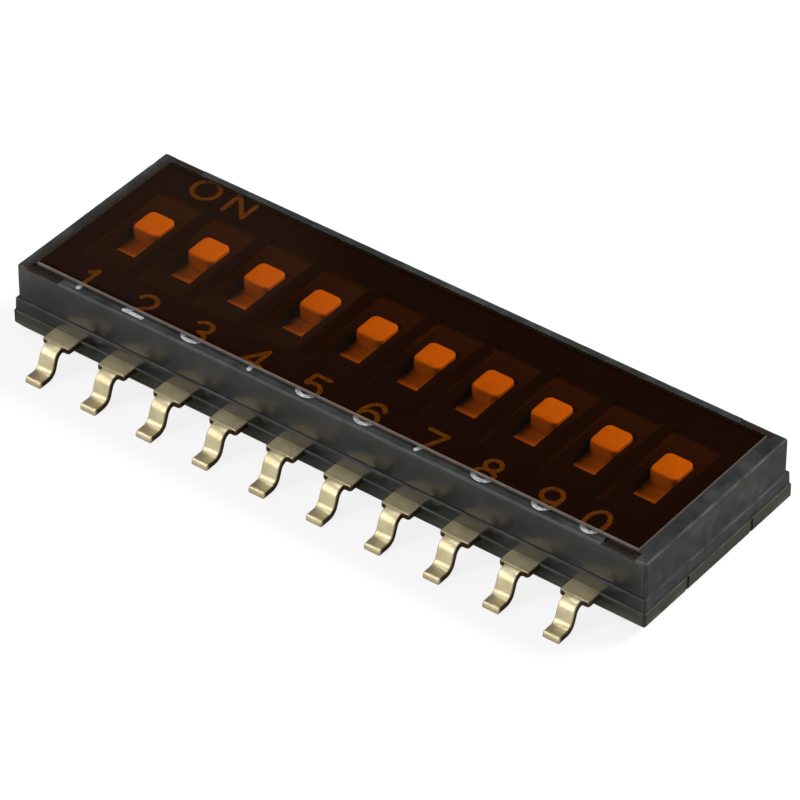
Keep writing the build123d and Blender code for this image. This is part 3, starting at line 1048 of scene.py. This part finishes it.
# %% [markdown]
# ## Floor, light and camera
#
# The switch stands on a white board. The main lamp is a soft box behind it on the right. A wide fill
# at the front left lights the long wall, and the bends of the leads mirror it. A small card
# overhead brightens the shoulders and feet, and a tiny one puts a sheen on the left of the film.
# The film mirrors the sky low behind the switch, so the sky is dim: the film stays dark and the
# slides glow through it. The board has two finishes. The camera sees it evenly lit, as in a product
# picture, and every other ray sees matt paper with the switch's shadow on it.

# %% Add the floor, the lamps and the sky
FLOOR_SIZE = 2.0
BOARD_GLOW = 0.84


def make_floor_finish():
    """White board: evenly lit for the camera, and matt paper with a faint tooth for other rays."""
    material, tree = new_material("matt_white_board")
    tooth = noise(tree, 2.0, detail=3.0)
    board = mix(tree, tooth, linear("#d2d2d0"), linear("#d8d8d6"))
    paper = add_node(tree, "BsdfDiffuse", {"Color": board})
    lit = add_node(tree, "BsdfPrincipled", {"Base Color": linear("#707070"), "Roughness": 0.9,
                                            "Specular IOR Level": 0.1, "Emission Strength": BOARD_GLOW,
                                            "Emission Color": linear("#ffffff")})
    seen = add_node(tree, "LightPath").outputs["Is Camera Ray"]
    show(tree, add_node(tree, "MixShader", {0: seen, 1: paper.outputs[0], 2: lit.outputs[0]}))
    return material


def add_lamp(name, place, width, height, watts, aim=(0, 0, 0)):
    """Area lamp that faces a point, its width level; places and sizes in metres."""
    lamp = bpy.data.lights.new(name, "AREA")
    lamp.shape = "RECTANGLE"
    lamp.size = width
    lamp.size_y = height
    lamp.energy = watts
    holder = bpy.data.objects.new(name, lamp)
    holder.location = place
    way = np.array(place) - np.array(aim)
    across = math.hypot(way[0], way[1])
    holder.rotation_euler = (math.atan2(across, way[2]), 0, math.atan2(way[1], way[0]) + math.pi / 2)
    bpy.context.scene.collection.objects.link(holder)


half = FLOOR_SIZE / 2
floor_mesh = bpy.data.meshes.new("floor")
corners = np.array([(-half, -half, 0), (half, -half, 0), (half, half, 0), (-half, half, 0)])
floor_mesh.from_pydata(corners, [], [(0, 1, 2, 3)])
floor_mesh.materials.append(make_floor_finish())
floor = bpy.data.objects.new("floor", floor_mesh)
bpy.context.scene.collection.objects.link(floor)

add_lamp("back_softbox", (0.19, 0.36, 0.285), width=0.20, height=0.20, watts=4.9)
add_lamp("front_fill", (-0.23, -0.30, 0.245), width=0.70, height=0.34, watts=1.5)
add_lamp("overhead_card", (-0.10, 0.02, 0.39), width=0.12, height=0.12, watts=0.26)
add_lamp("sheen_card", (-0.071, 0.075, 0.072), width=0.016, height=0.016, watts=0.00008,
         aim=(-0.006, 0.0015, 0.0016))

world = bpy.data.worlds.new("studio")
world.use_nodes = True
background = world.node_tree.nodes["Background"]
background.inputs["Color"].default_value = linear("#3d3e42")
background.inputs["Strength"].default_value = 1.0
bpy.context.scene.world = world
bpy.context.scene.view_settings.view_transform = "Standard"
print("lamps and sky set")

# %% [markdown]
# The camera was worked out from the picture: it looks down at 39 degrees from 37 degrees to the
# right of straight ahead, from far off, so the sides of the row look nearly parallel.

# %% Set the camera
AZIMUTH = math.radians(37.16)
ELEVATION = math.radians(38.77)
CAMERA_DISTANCE = 99.5
FOCAL_PIXELS = 5635
FRAME_PIXELS = 800
AIM_HEIGHT = 0.8
AIM_RIGHT = 0.084
AIM_UP = -0.304
CLIP_RANGE = (0.005, 5.0)

back = np.array([math.sin(AZIMUTH) * math.cos(ELEVATION), -math.cos(AZIMUTH) * math.cos(ELEVATION),
                 math.sin(ELEVATION)])
right = np.array([math.cos(AZIMUTH), math.sin(AZIMUTH), 0])
up = np.cross(back, right)
aim = np.array([0, 0, AIM_HEIGHT]) + right * AIM_RIGHT + up * AIM_UP
lens = bpy.data.cameras.new("camera")
lens.lens = FOCAL_PIXELS / FRAME_PIXELS * lens.sensor_width
lens.clip_start, lens.clip_end = CLIP_RANGE
camera = bpy.data.objects.new("camera", lens)
stand = np.eye(4)
stand[:3] = np.column_stack([right, up, back, (aim + back * CAMERA_DISTANCE) * MM])
camera.matrix_world = Matrix(stand)
bpy.context.scene.collection.objects.link(camera)
bpy.context.scene.camera = camera
print("lens", round(lens.lens, 1))
